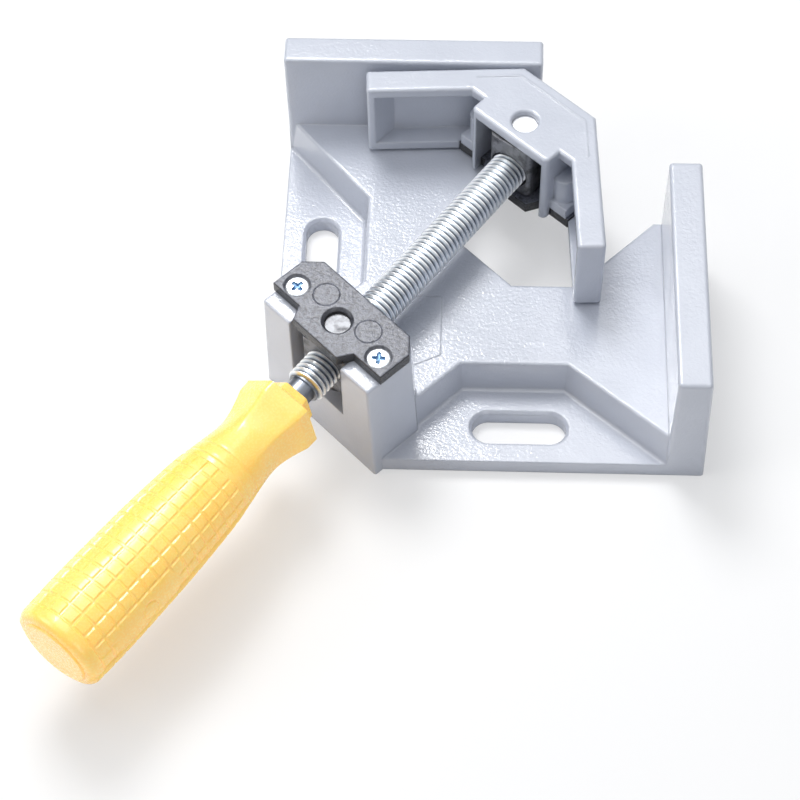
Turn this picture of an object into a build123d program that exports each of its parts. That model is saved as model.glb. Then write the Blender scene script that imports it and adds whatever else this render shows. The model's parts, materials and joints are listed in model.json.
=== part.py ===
from build123d import *
import math
import os

# A one-handle corner clamp: a cast base with two fences at a right angle, a swivelling lead screw
# and a V jaw. Lengths are millimetres and angles are degrees.
# X runs along the back fence, Y along the right fence, and Z is up.
# The origin is the work corner: the bench point below the line where the two fence faces would meet.
# "Along" is measured on the diagonal towards the work corner, and "across" at right angles to it.

# Fences
fence_length = 95.0
fence_start = 44.3
fence_thickness = 11.7
fence_height = 56.5
fence_wall = 3.0
fence_draft = 2.0
fence_edge_radius = 1.3

# Platform, bench flats and their bolt slots
platform_height = 20.8
platform_skin = 4.0
platform_edge_radius = 1.0
skirt_wall = 3.5
rib_thickness = 3.0
core_draft = 1.0
flat_height = 6.6
flat_back = 109.0
flat_near_corner = 35.0
flat_far_corner = 68.7
flat_draft = 6.0
flat_end_wall = 0.8
flat_foot_radius = 1.2
slot_width = 12.0
slot_length = 33.3
slot_setback = 14.3
slot_middle = 51.15
slot_rim = 1.3
slot_rim_angle = 40.0
notch_depth = 73.3
notch_corner = 54.5
strip_half_width = 29.3
raised_height = 0.3
raised_corner = 79.3
raised_reach = 104.4
raised_tip = 12.5
raised_edge_radius = 0.25

# Tower that carries the nut, and the cover plate on it
pivot_setback = 161.2
tower_top = 50.0
tower_half_width = 26.5
tower_front = 10.8
tower_back = 13.4
tower_corner = 5.6
tower_draft = 2.5
tower_slot = 13.0
tower_floor = 22.0
tower_edge_radius = 1.0
tower_core_height = 30.0
cover_thickness = 4.5
cover_front = 5.2
cover_back = 13.5
cover_half_width = 27.0
cover_corner = 5.5
cover_edge_radius = 0.5
tongue_half_width = 12.4
tongue_front = 10.4
tongue_blend = 1.4
cover_screw_spacing = 41.0

# Countersunk screws of both cover plates
cover_screw_radius = 2.5
cover_screw_length = 16.0
jaw_screw_length = 14.0
screw_head_radius = 4.1
screw_head_height = 2.2
screw_head_drop = 0.6
screw_hole_spare = 2.0

# Clearances
running_clearance = 0.05
seat_clearance = 0.3

# Nut and its two trunnions
screw_height = 37.0
trunnion_radius = 4.5
trunnion_bush_radius = 5.6
trunnion_drop = 2.3
trunnion_foot = 5.5
nut_half_width = 9.5
nut_half_depth = 8.5
nut_half_height = 10.5
nut_corner_radius = 1.5
nut_shoulder_radius = 7.5

# Lead screw, with its shank in the handle and its journal in the swivel block
screw_radius = 7.0
screw_swing = 9.4
thread_back = 20.0
thread_chamfer = 1.0
shank_radius = 5.0
shank_flat = 4.2
shank_end = 62.0
journal_radius = 5.0
journal_tip = 1.4
groove_depth = 1.0

# Swivel block, washer and retaining ring
block_half_width = 9.2
block_corner_radius = 2.5
block_low = 27.6
block_high = 50.9
block_trunnion_radius = 4.65
block_trunnion_drop = 2.4
block_foot = 3.9
block_recess_radius = 7.8
block_recess_depth = 2.5
washer_radius = 8.0
washer_thickness = 1.2
ring_radius = 7.0
ring_thickness = 1.2
ring_gap = 5.0

# Jaw
jaw_fence_gap = 0.36
jaw_turn = 2.8
jaw_low = 21.9
jaw_high = 55.4
jaw_face = 25.5
jaw_arm = 9.9
jaw_arm_reach = 56.8
jaw_tip = 18.8
jaw_wall = 2.7
jaw_skin = 4.0
jaw_edge_radius = 1.3
ridge_inset = 4.0
ridge_width = 0.7
ridge_height = 0.15
ridge_length = 16.3
pocket_slope = 7.2
housing_front = 8.7
housing_half_width = 18.4
housing_slot = 15.9
housing_back = 15.5
housing_shoulder = 2.0
housing_edge_radius = 2.0
flange_front = 5.5
flange_reach = 26.0
flange_thickness = 4.8
boss_radius = 4.5
boss_top = 42.5
pin_sink_radius = 5.4
jaw_plate_side = 21.5

# Handle, measured back from the nut's pivot
collar_sides = 6
collar_turn = 12.5
collar_start = 25.4
collar_start_radius = 8.7
collar_lip = 27.2
collar_lip_radius = 10.9
collar_rim = 31.0
collar_rim_radius = 15.5
collar_band = 2.8
collar_neck = 38.0
collar_neck_radius = 14.4
waist = 49.0
waist_radius = 11.6
collar_end = 51.5
collar_step = 0.3
swell = 71.0
swell_radius = 14.7
palm = 95.0
palm_radius = 16.2
grip_end = 145.2
grip_end_radius = 16.5
heel = 128.0
heel_radius = 16.8
grip_rim = 3.2
plug_radius = 12.6
plug_depth = 3.0
plug_proud = 0.7

os.makedirs("parts", exist_ok=True)

root_two = math.sqrt(2.0)
fence_end = fence_start + fence_length
pivot_x = -pivot_setback / root_two
pivot_y = -pivot_setback / root_two
screw_angle = 45.0 + screw_swing
jaw_corner = jaw_tip * root_two - jaw_face
jaw_cosine = math.cos(math.radians(jaw_turn))
jaw_sine = math.sin(math.radians(jaw_turn))
pin_y = -jaw_fence_gap - jaw_face * jaw_cosine - jaw_corner * jaw_sine
jaw_reach = (pin_y - pivot_y) / math.sin(math.radians(screw_angle))
pin_x = pivot_x + jaw_reach * math.cos(math.radians(screw_angle))
cover_top = tower_top + cover_thickness
jaw_plate_top = jaw_low + cover_thickness
screw_across = cover_screw_spacing / 2

# Placed frames: on the diagonal at the nut's pivot, along the lead screw, and on the jaw's pin.
on_diagonal = Pos(pivot_x, pivot_y, 0) * Rot(0, 0, 45)
along_screw = Pos(pivot_x, pivot_y, screw_height) * Rot(0, 0, screw_angle)
on_jaw = Pos(pin_x, pin_y, 0) * Rot(0, 0, 45 + jaw_turn)
on_jaw_arms = Pos(pin_x, pin_y, 0) * Rot(0, 0, jaw_turn)
on_block = Pos(pin_x, pin_y, 0) * Rot(0, 0, screw_angle)


def flat_face(points):
    # drawn anticlockwise, so that its front is its top
    turn = sum(a[0] * b[1] - a[1] * b[0] for a, b in zip(points, points[1:] + points[:1]))
    return make_face(Polyline(*(points if turn > 0 else points[::-1]), close=True))


def plate(points, low, high, taper=0.0):
    return Pos(0, 0, low) * extrude(flat_face(points), high - low, taper=taper)


def rod(radius, start, end):
    # a round bar along the local X axis
    bar = Cylinder(radius, end - start, align=(Align.CENTER, Align.CENTER, Align.MIN))
    return Pos(start, 0, 0) * Rot(0, 90, 0) * bar


def post(radius, low, high, x=0.0, y=0.0):
    return Pos(x, y, low) * Cylinder(radius, high - low, align=(Align.CENTER, Align.CENTER, Align.MIN))


def cone(low_radius, high_radius, low, high, x=0.0, y=0.0):
    standing = (Align.CENTER, Align.CENTER, Align.MIN)
    return Pos(x, y, low) * Cone(low_radius, high_radius, high - low, align=standing)


def both_sides(points):
    # an outline that starts on one side of the local X axis, closed by its mirror image
    return points + [(x, -y) for x, y in reversed(points)]


def across_diagonal(shape):
    return mirror(shape, Plane(origin=(0, 0, 0), z_dir=(1, -1, 0)))


def upright_edges(shape):
    return shape.edges().filter_by(Axis.Z)


def rounded_top(shape, radius):
    return fillet(shape.faces().sort_by(Axis.Z)[-1].edges(), radius)


def save(shape, name):
    export_step(shape, os.path.join("parts", name + ".step"))


# Base casting

def platform_outline():
    strip_end = strip_half_width * root_two
    side = [
        (fence_thickness / 2, -fence_end),
        (fence_thickness / 2, -fence_start),
        (strip_end - fence_start, -fence_start),
        (strip_end - notch_depth, -notch_depth),
        (-notch_corner, -notch_depth),
    ]
    other_side = [(y, x) for x, y in reversed(side)]
    tower_foot = fence_end - tower_half_width * root_two
    return side + other_side + [(-fence_end, -tower_foot), (-tower_foot, -fence_end)]


def back_fence():
    # the outer face leans out towards the bench, and every upright edge is rounded
    profile = [(0, 0), (fence_thickness + fence_draft, 0), (fence_thickness, fence_height), (0, fence_height)]
    section = Plane.YZ * make_face(Polyline(*profile, close=True))
    block = Pos(-fence_end, 0, 0) * extrude(section, fence_length)
    uprights = block.edges().filter_by(lambda edge: abs(edge.center().Z - fence_height / 2) < 1)
    return rounded_top(fillet(uprights, fence_edge_radius), fence_edge_radius)


def fence_cores():
    # three hollows from below, with walls of one thickness and ribs between them
    top = fence_height - 1.5 * fence_wall
    lean = fence_draft * top / fence_height
    foot = fence_thickness + fence_draft - fence_wall
    section = flat_face([(fence_wall, 0), (foot, 0), (foot - lean, top), (fence_wall, top)])
    bay = (fence_length - 2 * fence_wall - 2 * rib_thickness) / 3
    cores = []
    for step in range(3):
        x = -fence_end + fence_wall + step * (bay + rib_thickness)
        core = Pos(x, 0, 0) * extrude(Plane.YZ * section, bay)
        cores += [core, across_diagonal(core)]
    return cores


def flat_recess():
    # the hollow over the front bench flat, open at the front, with one wall in line with the tower's side
    side = tower_half_width * root_two
    room = 20.0
    points = [
        (side - fence_end - room, -fence_end - room),
        (side - flat_back, -flat_back),
        (-flat_near_corner, -flat_back),
        (0.0, -fence_end + flat_end_wall),
        (0.0, -fence_end - room),
    ]
    return plate(points, flat_height, platform_height + 1.0, taper=-flat_draft)


def bolt_slot():
    outline = SlotOverall(slot_length, slot_width)
    slot = Pos(0, 0, -1) * extrude(outline, flat_height + 2)
    rim = Pos(0, 0, flat_height - slot_rim) * extrude(outline, slot_rim + 0.1, taper=-slot_rim_angle)
    return Pos(-slot_middle, slot_setback - fence_end, 0) * (slot + rim)


def tower():
    # the sides and the back lean in towards the top, and the front is cut off upright
    spread = tower_top * math.tan(math.radians(tower_draft))
    back = tower_back + spread
    half = tower_half_width + spread
    points = both_sides([(-2 * tower_front, half), (back - tower_corner, half), (back, half - tower_corner)])
    block = plate(points, 0, tower_top, taper=tower_draft)
    align = (Align.MIN, Align.CENTER, Align.MIN)
    block = block & Pos(-tower_front, 0, 0) * Box(tower_front + back, 2 * half, tower_top, align=align)
    uprights = block.edges().filter_by(lambda edge: abs(edge.center().Z - tower_top / 2) < 1)
    block = fillet(uprights.sort_by(Axis.X)[:2], tower_edge_radius)
    return rounded_top(block, tower_edge_radius)


def tower_slot_tool():
    room = 20.0
    length = tower_back + tower_front + room
    align = (Align.CENTER, Align.CENTER, Align.MIN)
    middle = (tower_back - tower_front) / 2
    return Pos(middle, 0, tower_floor) * Box(length, 2 * tower_slot, tower_top, align=align)


def raised_panel():
    # the slightly raised middle of the platform, in front of the tower
    inner = -raised_corner
    outer = -raised_reach
    points = [
        (inner, inner),
        (inner, outer),
        (outer, outer - raised_tip),
        (outer - raised_tip, outer),
        (outer, inner),
    ]
    panel = plate(points, platform_height - 1, platform_height + raised_height)
    return rounded_top(panel, raised_edge_radius)


def strip_cores():
    # hollows below the strip between the tower and the notch, either side of a rib on the diagonal
    top = platform_height - platform_skin
    lean = (platform_height - flat_height) * math.tan(math.radians(flat_draft))
    width = tower_half_width - lean - skirt_wall - rib_thickness / 2
    notch_along = pivot_setback - (notch_depth + notch_corner) / root_two
    front = -tower_front + skirt_wall
    back = notch_along - skirt_wall
    bay = (back - front - 2 * rib_thickness) / 3
    cores = []
    for step in range(3):
        along = front + bay / 2 + step * (bay + rib_thickness)
        for side in (-1, 1):
            across = side * (rib_thickness + width) / 2
            core = Pos(along, across, 0) * extrude(Rectangle(bay, width), top, taper=core_draft)
            cores.append(on_diagonal * core)
    return cores


def tower_cores():
    # each leg of the tower is hollow from below, up to the boss of the cover screw
    outer = tower_half_width - skirt_wall
    inner = tower_slot + skirt_wall
    length = tower_front + tower_back - 2 * skirt_wall
    middle = (tower_back - tower_front) / 2
    cores = []
    section = Rectangle(length, outer - inner)
    for side in (-1, 1):
        core = Pos(middle, side * (outer + inner) / 2, 0) * extrude(section, tower_core_height)
        cores.append(on_diagonal * core)
    return cores


def wing_core():
    # the hollow below the platform's arm beside the right fence
    top = platform_height - platform_skin
    strip_end = strip_half_width * root_two
    foot = -flat_back + skirt_wall
    points = [
        (-rib_thickness, -fence_start - 2 * skirt_wall),
        (-rib_thickness, -fence_end + flat_near_corner - skirt_wall),
        (-flat_near_corner - skirt_wall, foot),
        (-flat_far_corner + 2 * skirt_wall, foot),
        (-notch_corner + skirt_wall / 2, -notch_depth - 2 * skirt_wall),
        (strip_end - notch_depth + skirt_wall / 2, -notch_depth - skirt_wall),
    ]
    return plate(points, 0, top, taper=core_draft)


def platform():
    # the plate with its bench flats cut in, its top edges rounded and a fillet at the foot of each wall
    body = plate(platform_outline(), 0, platform_height)
    recess = flat_recess()
    body = body - recess - across_diagonal(recess)
    walls = []
    for edge in body.edges():
        middle = edge.center()
        inside = middle.X < 0 and middle.Y < 0 and min(middle.X, middle.Y) > 1 - fence_end
        if abs(middle.Z - flat_height) < 0.01 and inside:
            walls.append(edge)
    body = fillet(walls, flat_foot_radius)
    return rounded_top(body, platform_edge_radius)


def base_casting():
    fence = back_fence()
    body = platform() + raised_panel() + fence + across_diagonal(fence) + on_diagonal * tower()
    for tool in (bolt_slot(), wing_core()):
        body = body - tool - across_diagonal(tool)
    for core in strip_cores() + tower_cores() + fence_cores():
        body = body - core
    body = body - on_diagonal * tower_slot_tool()
    body = body - on_diagonal * post(trunnion_radius + running_clearance, -1, tower_top)
    hole_depth = cover_screw_length - cover_thickness + screw_hole_spare
    for side in (-1, 1):
        hole = post(cover_screw_radius + running_clearance, tower_top - hole_depth, tower_top + 1)
        body = body - on_diagonal * Pos(0, side * screw_across, 0) * hole
    return body


# Cover plates, one over the nut and one under the jaw, each with a tongue in the middle of its front edge

def screw_holes(body, top, thickness, direction):
    # countersunk holes, open towards the face that the screw heads are in
    wide = screw_head_radius + screw_head_drop + running_clearance
    depth = screw_head_height + screw_head_drop
    for side in (-1, 1):
        y = side * screw_across
        body = body - post(cover_screw_radius + running_clearance, top - thickness - 1, top + 1, 0, y)
        if direction > 0:
            body = body - cone(wide - depth, wide, top - depth, top, 0, y)
        else:
            low = top - thickness
            body = body - cone(wide, wide - depth, low, low + depth, 0, y)
    return body


def plate_front():
    return [
        (-tongue_front, tongue_half_width - tongue_blend),
        (-cover_front, tongue_half_width + tongue_blend),
    ]


def nut_cover_outline():
    half = plate_front() + [
        (-cover_front, cover_half_width),
        (cover_back - cover_corner, cover_half_width),
        (cover_back, cover_half_width - cover_corner),
    ]
    return both_sides(half)


def jaw_cover_outline():
    back_along = jaw_plate_side * root_two - cover_half_width
    back_across = jaw_plate_side * root_two - cover_back
    half = plate_front() + [
        (-cover_front, cover_half_width),
        (back_along, cover_half_width),
        (cover_back, back_across),
    ]
    return both_sides(half)


def nut_cover_plate():
    body = plate(nut_cover_outline(), tower_top, cover_top)
    body = rounded_top(body, cover_edge_radius)
    bore = trunnion_radius + running_clearance
    body = body - post(bore, tower_top - 1, cover_top + 1)
    body = body - cone(bore, trunnion_bush_radius, cover_top - trunnion_drop / 2, cover_top)
    return on_diagonal * screw_holes(body, cover_top, cover_thickness, 1)


def jaw_cover_plate():
    body = plate(jaw_cover_outline(), jaw_low, jaw_plate_top)
    body = body - post(block_trunnion_radius + running_clearance, jaw_low - 1, jaw_plate_top + 1)
    return on_jaw * screw_holes(body, jaw_plate_top, cover_thickness, -1)


def countersunk_screw(length):
    # stands head up, with the top of its head at zero
    head = cone(screw_head_radius - screw_head_height, screw_head_radius, -screw_head_height, 0)
    return head + post(cover_screw_radius, -length, -screw_head_height)


def nut_cover_screws():
    one = Pos(0, 0, cover_top - screw_head_drop) * countersunk_screw(cover_screw_length)
    return Compound([on_diagonal * Pos(0, side * screw_across, 0) * one for side in (-1, 1)])


def jaw_cover_screws():
    one = Pos(0, 0, jaw_low + screw_head_drop) * Rot(180, 0, 0) * countersunk_screw(jaw_screw_length)
    return Compound([on_jaw * Pos(0, side * screw_across, 0) * one for side in (-1, 1)])


# Nut, lead screw and what turns with it

def trunnion_nut():
    low = screw_height - nut_half_height
    high = screw_height + nut_half_height
    section = RectangleRounded(2 * nut_half_depth, 2 * nut_half_width, nut_corner_radius)
    body = Pos(0, 0, low) * extrude(section, high - low)
    body = body + post(nut_shoulder_radius, tower_floor + running_clearance, tower_top - running_clearance)
    body = body + post(trunnion_radius, tower_floor - trunnion_foot, cover_top - trunnion_drop)
    placed = Pos(pivot_x, pivot_y, 0) * Rot(0, 0, screw_angle) * body
    reach = 2 * nut_half_depth
    return placed - along_screw * rod(screw_radius + running_clearance, -reach, reach)


def flatted_shank(radius, flat, start, end):
    bar = rod(radius, start, end)
    return bar & Pos((start + end) / 2, 0, 0) * Box(end - start, 2 * flat, 2 * radius)


def shaft_stations():
    # where the thread ends, then the swivel block's back face, washer, ring and the journal's tip
    thread_end = jaw_reach - block_half_width + block_recess_depth - running_clearance
    washer = jaw_reach + block_half_width + running_clearance
    ring = washer + washer_thickness + running_clearance
    return thread_end, washer, ring, ring + ring_thickness + journal_tip


def lead_screw():
    thread_end, washer, ring, tip = shaft_stations()
    thread = rod(screw_radius, -thread_back, thread_end)
    thread = chamfer(thread.edges().filter_by(GeomType.CIRCLE), thread_chamfer)
    shank = flatted_shank(shank_radius, shank_flat, -shank_end, -thread_back)
    journal = rod(journal_radius, thread_end, tip)
    groove = rod(journal_radius + 1, ring - running_clearance, ring + ring_thickness + running_clearance)
    groove = groove - rod(journal_radius - groove_depth, ring - 1, ring + ring_thickness + 1)
    return along_screw * (thread + shank + journal - groove)


def thrust_washer():
    thread_end, washer, ring, tip = shaft_stations()
    body = rod(washer_radius, washer, washer + washer_thickness)
    return along_screw * (body - rod(journal_radius + running_clearance, washer - 1, ring + 1))


def retaining_ring():
    thread_end, washer, ring, tip = shaft_stations()
    inner = journal_radius - groove_depth + running_clearance
    body = rod(ring_radius, ring, ring + ring_thickness) - rod(inner, ring - 1, ring + ring_thickness + 1)
    body = body - Pos(ring, 0, -ring_radius) * Box(4 * ring_thickness, ring_gap, 2 * ring_radius)
    return along_screw * body


def swivel_block():
    low = block_low
    section = RectangleRounded(2 * block_half_width, 2 * block_half_width, block_corner_radius)
    body = Pos(0, 0, low) * extrude(section, block_high - low)
    body = body + post(block_trunnion_radius, jaw_plate_top - block_foot, jaw_high - block_trunnion_drop)
    body = on_block * body
    front = jaw_reach - block_half_width
    back = front + 4 * block_half_width
    body = body - along_screw * rod(journal_radius + running_clearance, front - 1, back)
    return body - along_screw * rod(block_recess_radius, front - 1, front + block_recess_depth)


# Jaw

def jaw_outline():
    # both arms, the cut-off tip, and the shoulders that stand back from the housing
    tip = jaw_tip * root_two - jaw_face
    inner = jaw_face - jaw_arm
    shoulder = -housing_shoulder * root_two - inner
    near = (housing_half_width - housing_shoulder) / root_two
    far = (-housing_half_width - housing_shoulder) / root_two
    left = [
        (far, near),
        (shoulder, inner),
        (-jaw_arm_reach, inner),
        (-jaw_arm_reach, jaw_face),
        (tip, jaw_face),
    ]
    return left + [(y, x) for x, y in reversed(left)]


def housing_block(half_width, front, back, low, high):
    align = (Align.MIN, Align.CENTER, Align.MIN)
    return Pos(-front, 0, low) * Box(front + back, 2 * half_width, high - low, align=align)


def jaw_pockets():
    # each arm is open towards the work corner's far side, with a sloped end and a wall beside the housing
    side = housing_half_width * root_two
    inner = jaw_face - jaw_arm
    outer = jaw_face - jaw_wall
    start = jaw_wall - jaw_arm_reach
    room = 8.0
    points = [
        (start, inner - room),
        (start, inner),
        (start + pocket_slope, outer),
        (outer - side, outer),
        (inner - room - side, inner - room),
    ]
    left = plate(points, jaw_low + jaw_skin, jaw_high - jaw_skin)
    return [left, across_diagonal(left)]


def jaw_shell():
    # arms and housing as one block, with its upright ends, top and underside rounded
    shell = plate(jaw_outline(), jaw_low, jaw_high)
    housing = housing_block(housing_half_width, housing_front, housing_back, jaw_low, jaw_high)
    housing = fillet(upright_edges(housing).sort_by(Axis.X)[:2], housing_edge_radius)
    body = shell + Rot(0, 0, 45) * housing
    ends = upright_edges(body)
    body = fillet(ends.sort_by(Axis.X)[:2] + ends.sort_by(Axis.Y)[:2], jaw_edge_radius)
    body = rounded_top(body, jaw_edge_radius)
    return fillet(body.faces().sort_by(Axis.Z)[0].edges(), jaw_edge_radius / 2)


def cast_ridge():
    # a fine raised line inside the tip's edges
    outer = jaw_face - ridge_inset
    corner = (jaw_tip - ridge_inset) * root_two - outer
    half = [(corner - ridge_length, outer), (corner, outer)]
    line = Polyline(*half, *[(y, x) for x, y in reversed(half)])
    return Pos(0, 0, jaw_high) * extrude(trace(line, ridge_width), ridge_height)


def jaw_casting():
    body = jaw_shell()
    for pocket in jaw_pockets():
        body = body - pocket
    across = Rot(0, 0, 45)
    flange_top = jaw_plate_top + flange_thickness
    body = body + across * housing_block(flange_reach, flange_front, 0, jaw_plate_top, flange_top)
    for side in (-1, 1):
        body = body + across * post(boss_radius, jaw_plate_top, boss_top, 0, side * screw_across)
    front = housing_front + 10.0
    hollow = housing_block(housing_slot, front, housing_back, jaw_low - 1, jaw_high - jaw_skin)
    body = body - across * hollow
    recess = offset(flat_face(jaw_cover_outline()), seat_clearance)
    body = body - across * (Pos(0, 0, jaw_low - 1) * extrude(recess, cover_thickness + 1))
    bore = block_trunnion_radius + running_clearance
    body = body - post(bore, jaw_high - jaw_skin - 1, jaw_high + 1)
    body = body - cone(bore, pin_sink_radius, jaw_high - (pin_sink_radius - bore), jaw_high)
    hole_depth = jaw_screw_length - cover_thickness + screw_hole_spare
    for side in (-1, 1):
        hole = post(cover_screw_radius + running_clearance, jaw_plate_top - 1, jaw_plate_top + hole_depth)
        body = body - across * Pos(0, side * screw_across, 0) * hole
    return on_jaw_arms * (body + cast_ridge())


# Handle

def collar():
    # a flared six-sided mouth that thins to the waist
    sizes = [
        (collar_start, collar_start_radius),
        (collar_lip, collar_lip_radius),
        (collar_rim, collar_rim_radius),
        (collar_rim + collar_band, collar_rim_radius),
        (collar_neck, collar_neck_radius),
        (collar_end, waist_radius + collar_step),
    ]
    rings = []
    for station, radius in sizes:
        ring = RegularPolygon(radius, collar_sides, rotation=collar_turn)
        rings.append(Pos(-station, 0, 0) * Rot(0, -90, 0) * ring)
    return loft(rings, ruled=True)


def grip():
    # turned about the local X axis, and rounded at the free end
    points = [(-waist, waist_radius), (-swell, swell_radius), (-palm, palm_radius), (-heel, heel_radius)]
    last = (grip_rim - grip_end, grip_end_radius)
    curve = Spline(*points, last, tangents=((-1, 0), (-1, -0.02)))
    edge = (-grip_end, grip_end_radius - grip_rim)
    rim = RadiusArc(last, edge, -grip_rim)
    lines = Polyline(edge, (-grip_end, 0), (-waist, 0), (-waist, waist_radius))
    return revolve(make_face([curve, rim, lines]), Axis.X)


def handle_grip():
    body = collar() + grip()
    bore = flatted_shank(shank_radius + running_clearance, shank_flat + running_clearance, -shank_end - 1, 0)
    body = body - bore
    body = body - rod(plug_radius + running_clearance, -grip_end - 1, plug_depth - grip_end)
    return along_screw * body


def handle_end_plug():
    disc = rod(plug_radius, -grip_end - plug_proud, plug_depth - running_clearance - grip_end)
    edge = disc.edges().filter_by(GeomType.CIRCLE).sort_by(Axis.X)[0]
    return along_screw * fillet(edge, plug_proud)


save(base_casting(), "base_casting")
save(nut_cover_plate(), "nut_cover_plate")
save(nut_cover_screws(), "nut_cover_screws")
save(trunnion_nut(), "trunnion_nut")
save(lead_screw(), "lead_screw")
save(thrust_washer(), "thrust_washer")
save(retaining_ring(), "retaining_ring")
save(swivel_block(), "swivel_block")
save(jaw_casting(), "jaw_casting")
save(jaw_cover_plate(), "jaw_cover_plate")
save(jaw_cover_screws(), "jaw_cover_screws")
save(handle_grip(), "handle_grip")
save(handle_end_plug(), "handle_end_plug")
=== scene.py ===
import bpy
import bmesh
import json
import math
from mathutils import Matrix, Vector


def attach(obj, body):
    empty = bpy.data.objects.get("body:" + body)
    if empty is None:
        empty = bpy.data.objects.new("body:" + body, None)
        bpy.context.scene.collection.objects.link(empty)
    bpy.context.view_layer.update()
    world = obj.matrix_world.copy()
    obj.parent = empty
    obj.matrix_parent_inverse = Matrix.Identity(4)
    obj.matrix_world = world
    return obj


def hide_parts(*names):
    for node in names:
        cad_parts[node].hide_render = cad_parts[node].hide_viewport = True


# A corner clamp on a pale floor. Metres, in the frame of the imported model:
# the origin is the work corner, X runs along the back fence and Y along the right fence.

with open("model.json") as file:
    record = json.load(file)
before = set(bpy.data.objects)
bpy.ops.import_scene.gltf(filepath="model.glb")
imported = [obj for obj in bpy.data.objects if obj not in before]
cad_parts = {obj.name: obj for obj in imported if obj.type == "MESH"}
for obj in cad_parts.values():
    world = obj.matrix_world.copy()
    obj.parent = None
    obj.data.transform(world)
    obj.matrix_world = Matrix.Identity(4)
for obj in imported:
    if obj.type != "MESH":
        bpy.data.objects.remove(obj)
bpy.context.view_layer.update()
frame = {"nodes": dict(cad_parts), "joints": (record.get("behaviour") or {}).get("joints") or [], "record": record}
joints = {joint["name"]: joint for joint in frame["joints"]}
mm = 0.001
print("frame loaded:", len(frame["nodes"]), "nodes")

# The lead screw's own frame: X along the screw from the nut's pivot towards the jaw, Z up.
nutPivot = Vector(joints["nut_swing"]["pos_m"])
screwWay = Vector(joints["jaw_feed"]["axis"]).normalized()
screwSide = Vector((0, 0, 1)).cross(screwWay)
screwFrame = Matrix.Translation(nutPivot) @ Matrix((screwWay, screwSide, (0, 0, 1))).transposed().to_4x4()
jawPin = Vector(joints["jaw_swivel"]["pos_m"])
jawReach = (jawPin - nutPivot).length


# Camera, as the photograph's

camera = {
    "azimuth": 3.242,
    "elevation": 57.006,
    "roll": -1.547,
    "distance": 0.776649,
    "target": (-0.092999, -0.123158, 0.020),
    "lens": 100.27,
    "sensor": 36.0,
    "clipStart": 0.05,
}


def addCamera(spec):
    azimuth, elevation, roll = (math.radians(spec[key]) for key in ("azimuth", "elevation", "roll"))
    level = math.cos(elevation)
    back = Vector((math.sin(azimuth) * level, -math.cos(azimuth) * level, math.sin(elevation)))
    right = Vector((math.cos(azimuth), math.sin(azimuth), 0))
    up = back.cross(right)
    turnedRight = right * math.cos(roll) + up * math.sin(roll)
    turnedUp = up * math.cos(roll) - right * math.sin(roll)
    data = bpy.data.cameras.new("photoCamera")
    data.lens = spec["lens"]
    data.sensor_width = spec["sensor"]
    data.clip_start = spec["clipStart"]
    eye = bpy.data.objects.new("photoCamera", data)
    place = Vector(spec["target"]) + back * spec["distance"]
    eye.matrix_world = Matrix.Translation(place) @ Matrix((turnedRight, turnedUp, back)).transposed().to_4x4()
    bpy.context.collection.objects.link(eye)
    bpy.context.scene.camera = eye


addCamera(camera)
bpy.context.scene.view_settings.view_transform = "Standard"
print("camera placed")


# Shader helpers

def newMaterial(name):
    material = bpy.data.materials.new(name)
    material.use_nodes = True
    nodes, links = material.node_tree.nodes, material.node_tree.links
    return material, nodes, links, nodes["Principled BSDF"]


def noiseNode(nodes, links, scale, detail=2.0, roughness=0.5, distortion=0.0):
    place = nodes.new("ShaderNodeTexCoord")
    noise = nodes.new("ShaderNodeTexNoise")
    noise.inputs["Scale"].default_value = scale
    noise.inputs["Detail"].default_value = detail
    noise.inputs["Roughness"].default_value = roughness
    noise.inputs["Distortion"].default_value = distortion
    links.new(place.outputs["Object"], noise.inputs["Vector"])
    return noise


def rampNode(nodes, links, source, stops):
    ramp = nodes.new("ShaderNodeValToRGB")
    links.new(source, ramp.inputs["Fac"])
    while len(ramp.color_ramp.elements) < len(stops):
        ramp.color_ramp.elements.new(0.5)
    for element, (place, colour) in zip(ramp.color_ramp.elements, stops):
        element.position = place
        element.color = (*colour, 1)
    return ramp


def twoTone(nodes, links, source, spec):
    # runs from the finish's dark colour to its light one
    dark, light = spec["stops"]
    return rampNode(nodes, links, source, [(dark, spec["dark"]), (light, spec["light"])])


def bumpNode(nodes, links, source, strength, depth, under=None):
    bump = nodes.new("ShaderNodeBump")
    bump.inputs["Strength"].default_value = strength
    bump.inputs["Distance"].default_value = depth
    links.new(source, bump.inputs["Height"])
    if under:
        links.new(under.outputs["Normal"], bump.inputs["Normal"])
    return bump


def rangeNode(nodes, links, source, low, high, fromLow=0.0, fromHigh=1.0):
    spread = nodes.new("ShaderNodeMapRange")
    spread.inputs["From Min"].default_value = fromLow
    spread.inputs["From Max"].default_value = fromHigh
    spread.inputs["To Min"].default_value = low
    spread.inputs["To Max"].default_value = high
    links.new(source, spread.inputs["Value"])
    return spread


def edgeNode(nodes, radius):
    # rounds the look of every edge a little, as paint and tumbling do
    bevel = nodes.new("ShaderNodeBevel")
    bevel.samples = 6
    bevel.inputs["Radius"].default_value = radius
    return bevel


def mathNode(nodes, links, operation, first, second=None):
    step = nodes.new("ShaderNodeMath")
    step.operation = operation
    for socket, value in zip(step.inputs, (first, second)):
        if isinstance(value, (int, float)):
            socket.default_value = value
        elif value is not None:
            links.new(value, socket)
    return step.outputs["Value"]


def vectorNode(nodes, links, operation, source, fixed=None):
    step = nodes.new("ShaderNodeVectorMath")
    step.operation = operation
    links.new(source, step.inputs[0])
    if fixed is not None:
        step.inputs[1].default_value = fixed
    return step


def heightOf(nodes, links, coordinate):
    # the upward share of one of the texture coordinates
    place = nodes.new("ShaderNodeTexCoord")
    split = nodes.new("ShaderNodeSeparateXYZ")
    links.new(place.outputs[coordinate], split.inputs["Vector"])
    return split.outputs["Z"]


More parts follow.
